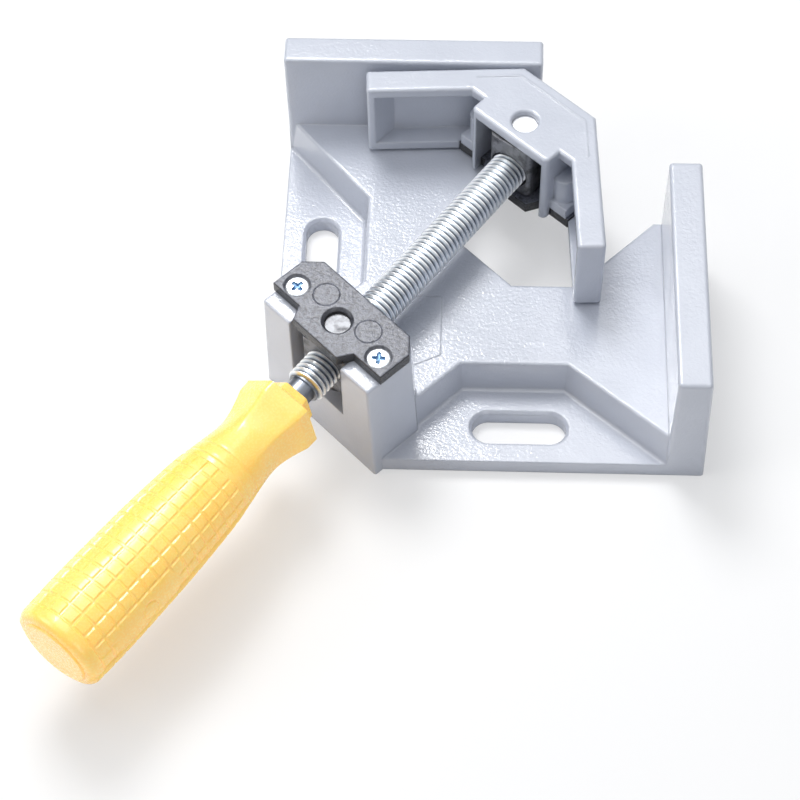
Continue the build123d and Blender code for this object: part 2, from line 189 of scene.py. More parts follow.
def mixColour(nodes, links, share, first, second):
    mix = nodes.new("ShaderNodeMix")
    mix.data_type = "RGBA"
    links.new(share, mix.inputs[0])
    sockets = [socket for socket in mix.inputs if socket.type == "RGBA"]
    for socket, value in zip(sockets, (first, second)):
        if isinstance(value, tuple):
            socket.default_value = (*value, 1)
        else:
            links.new(value, socket)
    return [socket for socket in mix.outputs if socket.type == "RGBA"][0]


def ringMarks(nodes, links, middles, radius, half):
    # one on a thin circle round any of the middles, nought away from it
    place = nodes.new("ShaderNodeTexCoord")
    nearest = None
    for middle in middles:
        gap = vectorNode(nodes, links, "DISTANCE", place.outputs["Object"], middle).outputs["Value"]
        offRing = mathNode(nodes, links, "ABSOLUTE", mathNode(nodes, links, "SUBTRACT", gap, radius))
        nearest = offRing if nearest is None else mathNode(nodes, links, "MINIMUM", nearest, offRing)
    share = mathNode(nodes, links, "DIVIDE", nearest, half)
    return mathNode(nodes, links, "MAXIMUM", mathNode(nodes, links, "SUBTRACT", 1.0, share), 0.0)


# Gloss paint over a sand-blasted casting: an orange-peel skin with soft colour drift.
paint = {
    "light": (0.520, 0.548, 0.622),
    "dark": (0.475, 0.503, 0.575),
    "stops": (0.35, 0.65),
    "driftScale": 28.0,
    "peelScale": 820.0,
    "peelDepth": 0.13 * mm,
    "peelStrength": 0.8,
    "waveScale": 60.0,
    "waveDepth": 0.45 * mm,
    "waveStrength": 0.5,
    "roughness": (0.26, 0.34),
    "coat": 1.0,
    "coatRoughness": 0.07,
    "edge": 1.1 * mm,
}


def paintMaterial():
    spec = paint
    material, nodes, links, shader = newMaterial("castingPaint")
    drift = noiseNode(nodes, links, spec["driftScale"], 3)
    colour = twoTone(nodes, links, drift.outputs["Fac"], spec)
    links.new(colour.outputs["Color"], shader.inputs["Base Color"])
    peel = noiseNode(nodes, links, spec["peelScale"], 2.5, 0.5, 0.4)
    wave = noiseNode(nodes, links, spec["waveScale"], 2)
    rough = rangeNode(nodes, links, peel.outputs["Fac"], *spec["roughness"])
    links.new(rough.outputs["Result"], shader.inputs["Roughness"])
    edge = edgeNode(nodes, spec["edge"])
    broad = bumpNode(nodes, links, wave.outputs["Fac"], spec["waveStrength"], spec["waveDepth"], edge)
    fine = bumpNode(nodes, links, peel.outputs["Fac"], spec["peelStrength"], spec["peelDepth"], broad)
    links.new(fine.outputs["Normal"], shader.inputs["Normal"])
    links.new(fine.outputs["Normal"], shader.inputs["Coat Normal"])
    shader.inputs["Coat Weight"].default_value = spec["coat"]
    shader.inputs["Coat Roughness"].default_value = spec["coatRoughness"]
    return material


# Blackened cover plates: a grainy face painted a lighter grey than the black plate, a painted reflection,
# near-black sides as painted shade, and two shallow round marks in the face of the plate over the nut.
plateFinish = {
    "light": (0.135, 0.143, 0.178),
    "dark": (0.050, 0.053, 0.068),
    # painted shade: the near-black colour given to the plates' sides
    "side": (0.010, 0.010, 0.012),
    "stops": (0.36, 0.56),
    "faceFrom": (0.55, 0.85),  # how level a surface is where the painted side shade gives way to the lighter face, a painted reflection
    "grainScale": 800.0,
    "grainDepth": 0.30 * mm,
    "grainStrength": 0.7,
    "roughness": (0.36, 0.22),
    "specular": 0.65,
    "edge": 0.8 * mm,
    "markAlong": 4.6 * mm,
    "markAcross": 10.6 * mm,
    "markRadius": 4.6 * mm,
    "markHalf": 0.3 * mm,
    "markDepth": 0.15 * mm,
    "top": 54.5 * mm,
}


def plateMarkPlaces():
    # on the tower's plate, towards the jaw from the nut's pivot and either side of the diagonal
    half = math.sqrt(0.5)
    along, across = Vector((half, half, 0)), Vector((-half, half, 0))
    middle = Vector((nutPivot.x, nutPivot.y, plateFinish["top"])) + along * plateFinish["markAlong"]
    return [middle + across * side * plateFinish["markAcross"] for side in (-1, 1)]


def plateMaterial():
    spec = plateFinish
    material, nodes, links, shader = newMaterial("blackPlateFinish")
    grain = noiseNode(nodes, links, spec["grainScale"], 4, 0.65)
    face = twoTone(nodes, links, grain.outputs["Fac"], spec).outputs["Color"]
    level = mathNode(nodes, links, "ABSOLUTE", heightOf(nodes, links, "Normal"))
    share = rangeNode(nodes, links, level, 0.0, 1.0, *spec["faceFrom"])
    # painted shade and reflection: surfaces that are not level take the near-black side colour, level ones the
    # lighter face colour
    colour = mixColour(nodes, links, share.outputs["Result"], spec["side"], face)
    links.new(colour, shader.inputs["Base Color"])
    rough = rangeNode(nodes, links, grain.outputs["Fac"], *spec["roughness"])
    links.new(rough.outputs["Result"], shader.inputs["Roughness"])
    edge = edgeNode(nodes, spec["edge"])
    bump = bumpNode(nodes, links, grain.outputs["Fac"], spec["grainStrength"], spec["grainDepth"], edge)
    rings = ringMarks(nodes, links, plateMarkPlaces(), spec["markRadius"], spec["markHalf"])
    flat = mathNode(nodes, links, "SUBTRACT", 1.0, rings)
    pressed = bumpNode(nodes, links, flat, 1.0, spec["markDepth"], bump)
    links.new(pressed.outputs["Normal"], shader.inputs["Normal"])
    shader.inputs["Specular IOR Level"].default_value = spec["specular"]
    return material


# Sintered steel nut and swivel block: grey with pits and oil stains, bright where it is machined.
sinter = {
    "light": (0.22, 0.225, 0.24),
    "dark": (0.06, 0.06, 0.065),
    "machined": (0.62, 0.63, 0.65),
    "stops": (0.34, 0.56),
    "stainScale": 230.0,
    "pitScale": 1900.0,
    "pitDepth": 0.07 * mm,
    "pitStrength": 0.6,
    "roughness": (0.30, 0.52),
    "metallic": 0.75,
    "edge": 0.4 * mm,
    "machinedDepth": 0.3 * mm,
}


def sinterMaterial(name, brightAbove=None):
    spec = sinter
    material, nodes, links, shader = newMaterial(name)
    stain = noiseNode(nodes, links, spec["stainScale"], 4, 0.6)
    colour = twoTone(nodes, links, stain.outputs["Fac"], spec).outputs["Color"]
    if brightAbove is not None:
        machined = mathNode(nodes, links, "GREATER_THAN", heightOf(nodes, links, "Object"), brightAbove)
        colour = mixColour(nodes, links, machined, colour, spec["machined"])
    links.new(colour, shader.inputs["Base Color"])
    pits = noiseNode(nodes, links, spec["pitScale"], 3, 0.7)
    edge = edgeNode(nodes, spec["edge"])
    bump = bumpNode(nodes, links, pits.outputs["Fac"], spec["pitStrength"], spec["pitDepth"], edge)
    links.new(bump.outputs["Normal"], shader.inputs["Normal"])
    rough = rangeNode(nodes, links, pits.outputs["Fac"], *spec["roughness"])
    links.new(rough.outputs["Result"], shader.inputs["Roughness"])
    shader.inputs["Metallic"].default_value = spec["metallic"]
    return material


# Zinc plate on the cover screws: bright and faintly blue, with fine drawn marks.
zinc = {
    "light": (0.93, 0.95, 0.97),
    "dark": (0.74, 0.79, 0.85),
    "stops": (0.35, 0.60),
    "cloudScale": 180.0,
    "markScale": 900.0,
    "markDepth": 0.02 * mm,
    "markStrength": 0.15,
    "roughness": (0.14, 0.30),
}


def zincMaterial():
    spec = zinc
    material, nodes, links, shader = newMaterial("zincPlate")
    cloud = noiseNode(nodes, links, spec["cloudScale"], 3, 0.6)
    colour = twoTone(nodes, links, cloud.outputs["Fac"], spec)
    links.new(colour.outputs["Color"], shader.inputs["Base Color"])
    marks = noiseNode(nodes, links, spec["markScale"], 4, 0.6)
    rough = rangeNode(nodes, links, marks.outputs["Fac"], *spec["roughness"])
    links.new(rough.outputs["Result"], shader.inputs["Roughness"])
    bump = bumpNode(nodes, links, marks.outputs["Fac"], spec["markStrength"], spec["markDepth"])
    links.new(bump.outputs["Normal"], shader.inputs["Normal"])
    shader.inputs["Metallic"].default_value = 1.0
    return material


# The lead screw's zinc, with painted shade: the colour darkens down in the thread towards its root.
rootShadedZinc = {
    "light": (0.96, 0.975, 0.985),
    "dark": (0.72, 0.77, 0.82),
    "rootShade": (0.24, 0.26, 0.30),
    "stops": (0.20, 0.60, 0.95),
    "rootRadius": 5.75 * mm,
    "outerRadius": 7.0 * mm,
    "cloudScale": 180.0,
    "cloudShare": 0.3,
    "markScale": 900.0,
    "roughness": (0.22, 0.40),
}


def rootShadedZincMaterial():
    spec = rootShadedZinc
    material, nodes, links, shader = newMaterial("rootShadedZinc")
    place = nodes.new("ShaderNodeTexCoord")
    fromPivot = vectorNode(nodes, links, "SUBTRACT", place.outputs["Object"], nutPivot)
    offAxis = vectorNode(nodes, links, "CROSS_PRODUCT", fromPivot.outputs["Vector"], screwWay)
    radius = vectorNode(nodes, links, "LENGTH", offAxis.outputs["Vector"])
    reach = (spec["rootRadius"], spec["outerRadius"])
    height = rangeNode(nodes, links, radius.outputs["Value"], 0.0, 1.0, *reach)
    cloud = noiseNode(nodes, links, spec["cloudScale"], 3, 0.6)
    stain = mathNode(nodes, links, "MULTIPLY", cloud.outputs["Fac"], spec["cloudShare"])
    tone = mathNode(nodes, links, "ADD", height.outputs["Result"], stain)
    # painted shade: from the dark root colour at the thread's root radius to the zinc's own tones at the crest
    colours = (spec["rootShade"], spec["dark"], spec["light"])
    ramp = rampNode(nodes, links, tone, list(zip(spec["stops"], colours)))
    links.new(ramp.outputs["Color"], shader.inputs["Base Color"])
    marks = noiseNode(nodes, links, spec["markScale"], 4, 0.6)
    rough = rangeNode(nodes, links, marks.outputs["Fac"], *spec["roughness"])
    links.new(rough.outputs["Result"], shader.inputs["Roughness"])
    shader.inputs["Metallic"].default_value = 1.0
    return material


# Painted shade for the bottom of a driver's recess: a dark, faintly blue colour.
recess = {
    "light": (0.26, 0.42, 0.60),
    "dark": (0.10, 0.19, 0.34),
    "stops": (0.35, 0.65),
    "cloudScale": 1600.0,
    "roughness": 0.35,
    "metallic": 0.8,
}


def recessShadeMaterial():
    spec = recess
    material, nodes, links, shader = newMaterial("driverRecessShade")
    cloud = noiseNode(nodes, links, spec["cloudScale"], 3, 0.6)
    colour = twoTone(nodes, links, cloud.outputs["Fac"], spec)
    links.new(colour.outputs["Color"], shader.inputs["Base Color"])
    shader.inputs["Metallic"].default_value = spec["metallic"]
    shader.inputs["Roughness"].default_value = spec["roughness"]
    return material


# Handle plastic: warm yellow, glossy, and a little translucent, with faint flow marks.
plastic = {
    "light": (1.0, 0.700, 0.175),
    "dark": (1.0, 0.650, 0.130),
    "stops": (0.35, 0.65),
    "flowScale": 55.0,
    "fineScale": 1300.0,
    "fineDepth": 0.02 * mm,
    "fineStrength": 0.25,
    "roughness": (0.22, 0.32),
    "glow": (1.0, 0.50, 0.15),  # stands for the light that passes through the plastic
    "glowStrength": 0.25,
    "subsurface": 0.5,
    "subsurfaceRadius": (6.0 * mm, 3.5 * mm, 1.0 * mm),
    "coat": 0.5,
    "coatRoughness": 0.10,
}


def plasticMaterial():
    spec = plastic
    material, nodes, links, shader = newMaterial("handlePlastic")
    flow = noiseNode(nodes, links, spec["flowScale"], 3, 0.55, 0.6)
    colour = twoTone(nodes, links, flow.outputs["Fac"], spec)
    links.new(colour.outputs["Color"], shader.inputs["Base Color"])
    fine = noiseNode(nodes, links, spec["fineScale"], 2)
    rough = rangeNode(nodes, links, fine.outputs["Fac"], *spec["roughness"])
    links.new(rough.outputs["Result"], shader.inputs["Roughness"])
    bump = bumpNode(nodes, links, fine.outputs["Fac"], spec["fineStrength"], spec["fineDepth"])
    links.new(bump.outputs["Normal"], shader.inputs["Normal"])
    shader.inputs["Emission Color"].default_value = (*spec["glow"], 1)
    shader.inputs["Emission Strength"].default_value = spec["glowStrength"]
    shader.inputs["Subsurface Weight"].default_value = spec["subsurface"]
    shader.inputs["Subsurface Radius"].default_value = spec["subsurfaceRadius"]
    shader.inputs["Subsurface Scale"].default_value = 1.0
    shader.inputs["Coat Weight"].default_value = spec["coat"]
    shader.inputs["Coat Roughness"].default_value = spec["coatRoughness"]
    return material


blockPinTop = max(corner[2] for corner in frame["nodes"]["swivel_block"].bound_box)

finishes = {
    "painted_casting": paintMaterial(),
    "black_plate": plateMaterial(),
    "sintered_steel": sinterMaterial("sinteredFinish"),
    "machined_pin": sinterMaterial("sinteredBlockFinish", blockPinTop - sinter["machinedDepth"]),
    "zinc_steel": zincMaterial(),
    "yellow_plastic": plasticMaterial(),
    "driver_recess_shade": recessShadeMaterial(),
    "root_shaded_zinc": rootShadedZincMaterial(),
}


def dressCadNodes():
    for part in frame["record"]["subparts"]:
        node = frame["nodes"][part["node"]]
        node.data.materials.clear()
        finish = "machined_pin" if part["node"] == "swivel_block" else part["material_slot"]
        node.data.materials.append(finishes[finish])


dressCadNodes()
print("finishes made:", len(finishes))


# Mesh helpers

def addPiece(name, mesh, finish, body, replaced):
    mesh.materials.append(finishes[finish])
    piece = bpy.data.objects.new(name, mesh)
    bpy.context.collection.objects.link(piece)
    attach(piece, body)
    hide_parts(replaced)
    return piece


def smoothByAngle(mesh, degrees):
    mesh.shade_smooth()
    mesh.set_sharp_from_angle(angle=math.radians(degrees))


def evenTurns(count):
    return [2 * math.pi * step / count for step in range(count)]


def ringPoint(station, radius, turned):
    return screwFrame @ Vector((station, radius * math.cos(turned), radius * math.sin(turned)))


def tubeGrid(verts, faces, stations, turns, radiusAt):
    # rings of points round the screw's axis, closed by a fan at both ends
    first, count = len(verts), len(turns)
    for station in stations:
        for turned in turns:
            verts.append(ringPoint(station, radiusAt(station, turned), turned))
    for ring in range(len(stations) - 1):
        for step in range(count):
            a = first + ring * count + step
            b = first + ring * count + (step + 1) % count
            faces.append((a, b, b + count, a + count))
    for ring in (0, len(stations) - 1):
        centre = len(verts)
        verts.append(ringPoint(stations[ring], 0.0, 0.0))
        for step in range(count):
            faces.append((first + ring * count + step, first + ring * count + (step + 1) % count, centre))


def cleanMesh(mesh, degrees):
    # joins doubled points, drops empty faces and turns every face outwards
    bm = bmesh.new()
    bm.from_mesh(mesh)
    bmesh.ops.remove_doubles(bm, verts=bm.verts, dist=1e-7)
    bmesh.ops.dissolve_degenerate(bm, edges=bm.edges, dist=1e-8)
    bmesh.ops.recalc_face_normals(bm, faces=bm.faces)
    bm.to_mesh(mesh)
    bm.free()
    smoothByAngle(mesh, degrees)


def closedMesh(name, verts, faces, degrees):
    mesh = bpy.data.meshes.new(name)
    mesh.from_pydata(verts, [], faces)
    cleanMesh(mesh, degrees)
    return mesh


# Lead screw: a rolled 2 mm thread from the handle's neck to the swivel block

leadScrew = {
    "outerRadius": 7.0 * mm,
    "rootRadius": 5.75 * mm,
    "pitch": 2.0 * mm,
    "threadStart": -20.0 * mm,
    "threadEnd": jawReach - 6.75 * mm,
    "chamfer": 1.2 * mm,
    "profile": ((0.00, 0), (0.07, 0), (0.40, 1), (0.50, 1), (0.62, 1), (0.93, 0)),
    "pointsRound": 72,
    "shankRadius": 5.0 * mm,
    "shankFlat": 4.2 * mm,
    "shankEnd": -62.0 * mm,
    "journalRadius": 5.0 * mm,
    "journalEnd": jawReach + 13.1 * mm,
    "tipChamfer": 0.5 * mm,
    "coreGap": 0.02 * mm,
    "overlap": 1 * mm,  # how far the shank and journal run into the thread
    "smoothAngle": 30,
}


def threadMesh(verts, faces):
    # a grid that follows the helix, so that every crest is one clean line
    spec = leadScrew
    count = spec["pointsRound"]
    length = spec["threadEnd"] - spec["threadStart"]
    turns = int(length / spec["pitch"]) + 2
    first = len(verts)
    rows = 0
    for turn in range(-1, turns):
        for phase, height in spec["profile"]:
            for step, turned in enumerate(evenTurns(count)):
                place = spec["threadStart"] + spec["pitch"] * (turn + phase + step / count)
                place = min(max(place, spec["threadStart"]), spec["threadEnd"])
                fromEnd = min(place - spec["threadStart"], spec["threadEnd"] - place)
                most = spec["outerRadius"] - max(0.0, spec["chamfer"] - fromEnd)
                radius = min(spec["rootRadius"] + (spec["outerRadius"] - spec["rootRadius"]) * height, most)
                verts.append(ringPoint(place, radius, turned))
            rows += 1
    perTurn = len(spec["profile"])
    for row in range(rows - 1):
        for step in range(count):
            a = first + row * count + step
            if step + 1 < count:
                b = a + 1
            elif row + perTurn + 1 < rows:
                b = first + (row + perTurn) * count
            else:
                continue
            faces.append((a, b, b + count, a + count))


def leadScrewMesh():
    spec = leadScrew
    verts, faces = [], []
    threadMesh(verts, faces)

    def core(station, turned):
        return spec["rootRadius"] - spec["coreGap"]

    def shank(station, turned):
        return min(spec["shankRadius"], spec["shankFlat"] / max(abs(math.cos(turned)), 1e-6))

    def journal(station, turned):
        return spec["journalRadius"] - max(0.0, station - spec["journalEnd"] + spec["tipChamfer"])

    turns = evenTurns(spec["pointsRound"])
    tubeGrid(verts, faces, [spec["threadStart"], spec["threadEnd"]], turns, core)
    tubeGrid(verts, faces, [spec["shankEnd"], spec["threadStart"] + spec["overlap"]], turns, shank)
    ends = [spec["threadEnd"] - spec["overlap"], spec["journalEnd"] - spec["tipChamfer"], spec["journalEnd"]]
    tubeGrid(verts, faces, ends, turns, journal)
    return closedMesh("leadScrewThread", verts, faces, spec["smoothAngle"])


addPiece("leadScrewThread", leadScrewMesh(), "root_shaded_zinc", "screw", "lead_screw")
print("lead screw threaded")


# Countersunk screws with a cross recess, two in each cover plate; in millimetres

crossScrew = {
    "radius": 4.1,
    "headHeight": 2.2,
    "shankRadius": 2.5,
    "edge": 0.4,
    "rings": (0.0, 0.25, 0.5, 0.75, 1.0, 1.25, 1.5, 1.75, 2.0, 2.25, 2.5, 2.8, 3.2, 3.6, 3.85, 4.0, 4.1),
    "pointsRound": 64,
    "armHalf": 0.48,
    "armEnd": 2.35,
    "slope": 0.28,
    "depth": 1.35,
    "dish": 0.09,
    "armWiden": 0.25,
    "taper": 0.45,
    "edgeDrop": 0.9,
    "paintedShadeFrom": 0.35,
    "tipChamfer": 0.6,
    "smoothAngle": 35,
}


def crossDepth(x, y):
    spec = crossScrew
    # the arms are a little wider and deeper towards the middle
    long, short = max(abs(x), abs(y)), min(abs(x), abs(y))
    half = spec["armHalf"] + spec["armWiden"] * max(0.0, 1 - long / spec["armEnd"])
    inward = min(half - short, spec["armEnd"] - long)
    share = min(1.0, max(0.0, inward / spec["slope"] + 0.5))
    return spec["depth"] * share * (1 - spec["taper"] * long / spec["armEnd"])


def crossScrewPiece(name, places, length, body, replaced):
    # places: for each screw its head's middle, which way is out, and the turn of its cross
    spec = crossScrew
    verts, faces, dark = [], [], []
    count = spec["pointsRound"]
    for middle, out, turn in places:
        flip = Matrix.Rotation(math.pi, 4, "X") if out < 0 else Matrix.Identity(4)
        place = Matrix.Translation(Vector(middle) * mm) @ Matrix.Rotation(math.radians(turn), 4, "Z") @ flip
        first = len(verts)
        rings = []
        for radius in spec["rings"]:
            ring = []
            for turned in evenTurns(count):
                x, y = radius * math.cos(turned), radius * math.sin(turned)
                drop = crossDepth(x, y) + max(0.0, radius - spec["radius"] + spec["edge"]) * spec["edgeDrop"]
                drop += spec["dish"] * (radius / spec["radius"]) ** 2
                ring.append((x, y, -drop))
            rings.append(ring)
        neck, tip = spec["shankRadius"], spec["tipChamfer"]
        shank = ((neck, -spec["headHeight"]), (neck, tip - length), (neck - tip, -length), (0.0, -length))
        turns = evenTurns(count)
        for radius, low in shank:
            rings.append([(radius * math.cos(turned), radius * math.sin(turned), low) for turned in turns])
        for ring in rings:
            verts += [place @ (Vector(point) * mm) for point in ring]
        for row in range(len(rings) - 1):
            for step in range(count):
                a = first + row * count + step
                b = first + row * count + (step + 1) % count
                faces.append((a, b, b + count, a + count))
                corner = rings[row][step]
                inHead = row + 1 < len(spec["rings"])
                # painted shade: head faces deep in the cross recess are marked for the dark recess colour
                dark.append(inHead and crossDepth(corner[0], corner[1]) > spec["paintedShadeFrom"] * spec["depth"])
    mesh = bpy.data.meshes.new(name)
    mesh.from_pydata(verts, [], faces)
    for polygon, isPaintedShade in zip(mesh.polygons, dark):
        polygon.material_index = 1 if isPaintedShade else 0
    cleanMesh(mesh, spec["smoothAngle"])
    piece = addPiece(name, mesh, "zinc_steel", body, replaced)
    # the dark recess colour, painted shade, as the heads' second material
    piece.data.materials.append(finishes["driver_recess_shade"])
    return piece


# Where they sit, in millimetres: heads a little below the plates' outer faces.
coverScrews = {
    "spacing": 41.0,
    "towerTop": 54.5,
    "jawLow": 21.9,
    "sunk": 0.6,
    "jawTurn": 47.8,
    "upperCrosses": (-5, 45),
    "lowerCrosses": (5, 65),
    "upperLength": 16.0,
    "lowerLength": 14.0,
}


def coverScrewPlaces():
    # on the tower: either side of the nut's pivot, at right angles to the diagonal
    spec = coverScrews
    half = spec["spacing"] / 2 * math.sqrt(0.5)
    pivot = nutPivot / mm
    top = spec["towerTop"] - spec["sunk"]
    upper = []
    for side, turn in zip((-1, 1), spec["upperCrosses"]):
        upper.append(((pivot.x - side * half, pivot.y + side * half, top), 1, turn))
    # under the jaw: either side of the swivel block's pin
    pin = jawPin / mm
    across = math.radians(spec["jawTurn"] + 90)
    reach = spec["spacing"] / 2
    low = spec["jawLow"] + spec["sunk"]
    lower = []
    for side, turn in zip((-1, 1), spec["lowerCrosses"]):
        middle = (pin.x + side * reach * math.cos(across), pin.y + side * reach * math.sin(across), low)
        lower.append((middle, -1, turn))
    return upper, lower


upperScrews, lowerScrews = coverScrewPlaces()
crossScrewPiece("nutCoverCrossScrews", upperScrews, coverScrews["upperLength"], "base", "nut_cover_screws")
crossScrewPiece("jawCoverCrossScrews", lowerScrews, coverScrews["lowerLength"], "jaw", "jaw_cover_screws")
print("cover screws made")


# Handle: a six-sided collar that runs into a round grip with moulded squares; in millimetres

handle = {
    "stations": (
        -25.4, -28.3, -31.0, -35.2, -38.5, -44.0, -49.0, -56.0,
        -63.0, -71.0, -80.0, -95.0, -112.0, -128.0, -142.0,
    ),
    "radii": (8.7, 9.3, 15.5, 15.4, 14.3, 12.7, 11.9, 12.4, 13.5, 14.7, 15.4, 16.2, 16.6, 16.8, 16.5),
    "collarRings": (
        -25.4, -26.8, -28.3, -28.9, -29.6, -30.3, -30.8, -31.0,
        -31.2, -32.5, -34.0, -35.0, -35.2, -35.4, -36.0,
    ),
    "rim": 3.2,
    "sides": 6,
    "facetTurn": 17.5,
    "facetCorner": 0.985,
    "facetStart": -38.0,
    "facetEnd": -58.0,
    "squaresStart": -67.0,
    "squaresEnd": -139.8,
    "squareRows": 14,
    "squareColumns": 20,
    "groove": 0.42,
    "grooveHalf": 0.05,
    "grooveEdge": 0.09,
    "ringLines": (-60.0, -64.6),
    "ringDepth": 0.22,
    "ringWidth": 0.45,
    "seams": (188.0, 8.0),
    "seamStart": -56.0,
    "seamHeight": 0.18,
    "seamRidge": (0.35, 0.22),  # each a place beside the seam and a width
    "seamCrease": (0.95, 0.2),
    "seamClear": (0.9, 0.3),
    "padTurns": (165.0, -15.0),
    "padStart": -106.5,
    "padEnd": -128.5,
    "padHalf": 5.3,
    "padEdge": 0.5,
    "markStation": -116.5,
    "markOffset": 1.2,
    "markRadius": 3.5,
    "markDepth": 0.34,
    "markWidth": 0.32,
    "straightSpans": 3,  # the collar's first spans are straight, and the rest is one smooth curve
    "smoothAngle": 34,
}


def handleRadius(station):
    # a smooth curve through the stations, in millimetres
    xs, ys = handle["stations"], handle["radii"]
    if station <= xs[-1]:
        depth = min(1.0, (xs[-1] - station) / handle["rim"])
        return ys[-1] - handle["rim"] * (1 - math.sqrt(max(0.0, 1 - depth * depth)))
    for i in range(len(xs) - 1):
        if xs[i] >= station >= xs[i + 1]:
            break
    t = (station - xs[i]) / (xs[i + 1] - xs[i])
    before, after = max(i - 1, 0), min(i + 2, len(xs) - 1)
    if i < handle["straightSpans"]:
        return ys[i] + (ys[i + 1] - ys[i]) * t
    slopeA = (ys[i + 1] - ys[before]) / (xs[i + 1] - xs[before]) * (xs[i + 1] - xs[i])
    slopeB = (ys[after] - ys[i]) / (xs[after] - xs[i]) * (xs[i + 1] - xs[i])
    a = 2 * ys[i] - 2 * ys[i + 1] + slopeA + slopeB
    b = -3 * ys[i] + 3 * ys[i + 1] - 2 * slopeA - slopeB
    return a * t ** 3 + b * t ** 2 + slopeA * t + ys[i]


def facetFactor(station, turned):
    # the six-sided outline, with rounded corners, fades out into the waist
    step = 2 * math.pi / handle["sides"]
    place = (turned - math.radians(handle["facetTurn"])) % step
    facet = min(math.cos(step / 2) / math.cos(place - step / 2), handle["facetCorner"])
    share = (station - handle["facetEnd"]) / (handle["facetStart"] - handle["facetEnd"])
    share = min(1.0, max(0.0, share))
    return 1 + (facet - 1) * share * share * (3 - 2 * share)


def grooveShare(place):
    # nought on a square and one in a groove, with a soft edge
    gap = min(place % 1.0, 1 - place % 1.0)
    rise = min(1.0, max(0.0, (gap - handle["grooveHalf"]) / handle["grooveEdge"]))
    return 1 - rise * rise * (3 - 2 * rise)


def turnGap(turned, degrees, radius):
    # how far round the handle a place is from a given turn, in millimetres
    gap = (math.degrees(turned) - degrees + 180) % 360 - 180
    return math.radians(gap) * radius


def softLine(place, middle, width):
    return math.exp(-((place - middle) / width) ** 2)


def handleSkin(place, turned):
    station = place / mm
    spec = handle
    smooth = handleRadius(station)
    radius = smooth * facetFactor(station, turned)
    for line in spec["ringLines"]:
        radius -= spec["ringDepth"] * softLine(station, line, spec["ringWidth"])
    onPad = 0.0
    for number, padTurn in enumerate(spec["padTurns"]):
        across = turnGap(turned, padTurn, smooth)
        along = max(0.0, station - spec["padStart"], spec["padEnd"] - station)
        edge = spec["padHalf"] - math.hypot(across, along)
        onPad = max(onPad, min(1.0, max(0.0, edge / spec["padEdge"] + 0.5)))
        if number == 0:
            centre = math.hypot(across - spec["markOffset"], station - spec["markStation"])
            radius -= spec["markDepth"] * softLine(centre, spec["markRadius"], spec["markWidth"])
    seam = min(abs(turnGap(turned, seamTurn, smooth)) for seamTurn in spec["seams"])
    if spec["squaresEnd"] <= station <= spec["squaresStart"]:
        length = spec["squaresStart"] - spec["squaresEnd"]
        row = (spec["squaresStart"] - station) / length * spec["squareRows"]
        column = turned / (2 * math.pi) * spec["squareColumns"]
        clearFrom, clearOver = spec["seamClear"]
        seamClear = min(1.0, max(0.0, (seam - clearFrom) / clearOver))
        radius -= spec["groove"] * max(grooveShare(row), grooveShare(column)) * (1 - onPad) * seamClear
    if station < spec["seamStart"]:
        ridge = softLine(seam, *spec["seamRidge"]) - softLine(seam, *spec["seamCrease"])
        radius += spec["seamHeight"] * ridge
    return radius * mm


def cellSteps(cells, start, end):
    # places along a row of squares, closer together at each groove
    marks = (0, 0.05, 0.095, 0.14, 0.3, 0.5, 0.7, 0.86, 0.905, 0.95)
    places = [start + (end - start) * (cell + mark) / cells for cell in range(cells) for mark in marks]
    return places + [end]


def handleStations():
    spec = handle
    last = spec["stations"][-1]
    stations = list(spec["collarRings"])
    stations += [-37.0 - step for step in range(22)]  # the waist
    stations += [-59.0 - step * 0.22 for step in range(32)]  # its two ring lines
    stations += cellSteps(spec["squareRows"], spec["squaresStart"], spec["squaresEnd"])
    stations += [spec["markStation"] - 4.2 + step * 0.3 for step in range(29)]  # the round mark
    stations += [-140.3, -141.2, last]
    stations += [last - spec["rim"] * math.sin(math.radians(turn)) for turn in range(10, 91, 10)]
    return sorted(set(round(value, 3) for value in stations), reverse=True)


def handleTurns():
    spec = handle
    turns = cellSteps(spec["squareColumns"], 0.0, 360.0)[:-1]
    turns += [turn + step * 0.45 for turn in spec["seams"] for step in range(-10, 11)]
    turns += [spec["padTurns"][0] - 12 + step * 1.1 for step in range(30)]  # the pad with the round mark
    return sorted(set(round(turn % 360, 2) for turn in turns))


def handleMesh():
    verts, faces = [], []
    stations = [value * mm for value in handleStations()]
    tubeGrid(verts, faces, stations, [math.radians(turn) for turn in handleTurns()], handleSkin)
    return closedMesh("handleSkin", verts, faces, handle["smoothAngle"])


addPiece("handleSkin", handleMesh(), "yellow_plastic", "screw", "handle_grip")
print("handle moulded")


# Floor and lights

studio = {
    "floorSize": 6.0,
    "floorMiddle": (-0.1, -0.1, 0),
    "floorRoughness": 0.7,
    "floorSpecular": 0.1,
    "floorColour": (0.90, 0.90, 0.905),
    "floorGlow": 0.42,
    "worldColour": (0.86, 0.92, 1.0),
    "worldStrength": 0.21,
    "skyLow": (0.10, 0.105, 0.12),
    "skyStops": (0.05, 0.55),
    "lampAim": (-0.09, -0.10, 0.03),
}


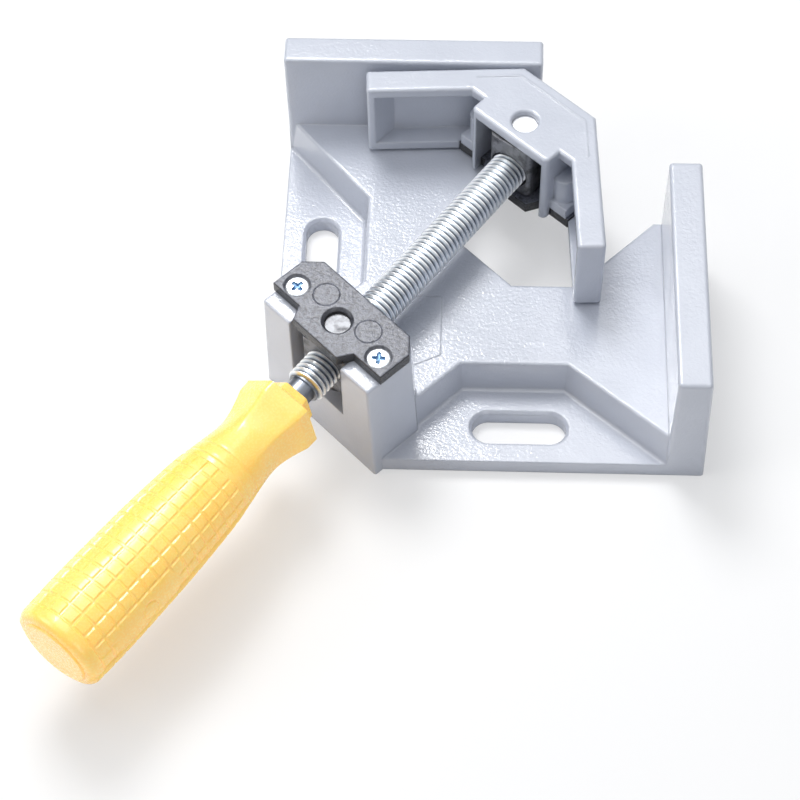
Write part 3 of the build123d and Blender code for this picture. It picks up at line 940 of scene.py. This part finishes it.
def addFloor():
    # pale, and partly lit from within for the camera, so that it stays near white
    bpy.ops.mesh.primitive_plane_add(size=studio["floorSize"], location=studio["floorMiddle"])
    floor = bpy.context.object
    floor.name = "studioFloor"
    material, nodes, links, shader = newMaterial("floorSweep")
    shader.inputs["Base Color"].default_value = (*studio["floorColour"], 1)
    shader.inputs["Roughness"].default_value = studio["floorRoughness"]
    shader.inputs["Specular IOR Level"].default_value = studio["floorSpecular"]
    glow = nodes.new("ShaderNodeEmission")
    glow.inputs["Color"].default_value = (1, 1, 1, 1)
    path = nodes.new("ShaderNodeLightPath")
    share = mathNode(nodes, links, "MULTIPLY", path.outputs["Is Camera Ray"], studio["floorGlow"])
    mix = nodes.new("ShaderNodeMixShader")
    links.new(share, mix.inputs["Fac"])
    links.new(shader.outputs["BSDF"], mix.inputs[1])
    links.new(glow.outputs["Emission"], mix.inputs[2])
    links.new(mix.outputs["Shader"], nodes["Material Output"].inputs["Surface"])
    floor.data.materials.append(material)


def addWorld():
    # soft fill for shading, a bright sky in reflections, and white to the camera
    world = bpy.data.worlds.new("studioWorld")
    bpy.context.scene.world = world
    world.use_nodes = True
    nodes, links = world.node_tree.nodes, world.node_tree.links
    fill = nodes["Background"]
    fill.inputs["Color"].default_value = (*studio["worldColour"], 1)
    fill.inputs["Strength"].default_value = studio["worldStrength"]
    place = nodes.new("ShaderNodeTexCoord")
    split = nodes.new("ShaderNodeSeparateXYZ")
    links.new(place.outputs["Generated"], split.inputs["Vector"])
    skyColours = (studio["skyLow"], (1, 1, 1))
    sky = rampNode(nodes, links, split.outputs["Z"], list(zip(studio["skyStops"], skyColours)))
    shine = nodes.new("ShaderNodeBackground")
    links.new(sky.outputs["Color"], shine.inputs["Color"])
    white = nodes.new("ShaderNodeBackground")
    white.inputs["Color"].default_value = (1, 1, 1, 1)
    path = nodes.new("ShaderNodeLightPath")
    glossy = nodes.new("ShaderNodeMixShader")
    links.new(path.outputs["Is Glossy Ray"], glossy.inputs["Fac"])
    links.new(fill.outputs["Background"], glossy.inputs[1])
    links.new(shine.outputs["Background"], glossy.inputs[2])
    seen = nodes.new("ShaderNodeMixShader")
    links.new(path.outputs["Is Camera Ray"], seen.inputs["Fac"])
    links.new(glossy.outputs["Shader"], seen.inputs[1])
    links.new(white.outputs["Background"], seen.inputs[2])
    links.new(seen.outputs["Shader"], nodes["World Output"].inputs["Surface"])


lamps = [
    {"name": "keySoftbox", "place": (-0.33, 0.42, 1.04), "size": 0.42, "power": 7.8},
    {"name": "backRightSoftbox", "place": (0.12, 0.50, 1.04), "size": 0.30, "power": 0.7},
    {"name": "overheadSoftbox", "place": (-0.25, 0.05, 1.40), "size": 1.1, "power": 7.2},
    {"name": "leftSoftbox", "place": (-1.05, -0.30, 0.65), "size": 0.6, "power": 3.2},
    {"name": "frontSoftbox", "place": (0.25, -1.15, 0.60), "size": 0.6, "power": 2.0},
]


def addLamp(spec):
    data = bpy.data.lights.new(spec["name"], "AREA")
    data.shape = "SQUARE"
    data.size = spec["size"]
    data.energy = spec["power"]
    lamp = bpy.data.objects.new(spec["name"], data)
    lamp.location = spec["place"]
    aim = Vector(studio["lampAim"]) - lamp.location
    lamp.rotation_euler = aim.to_track_quat("-Z", "Y").to_euler()
    bpy.context.collection.objects.link(lamp)


addFloor()
addWorld()
for lampSpec in lamps:
    addLamp(lampSpec)
print("studio lit")
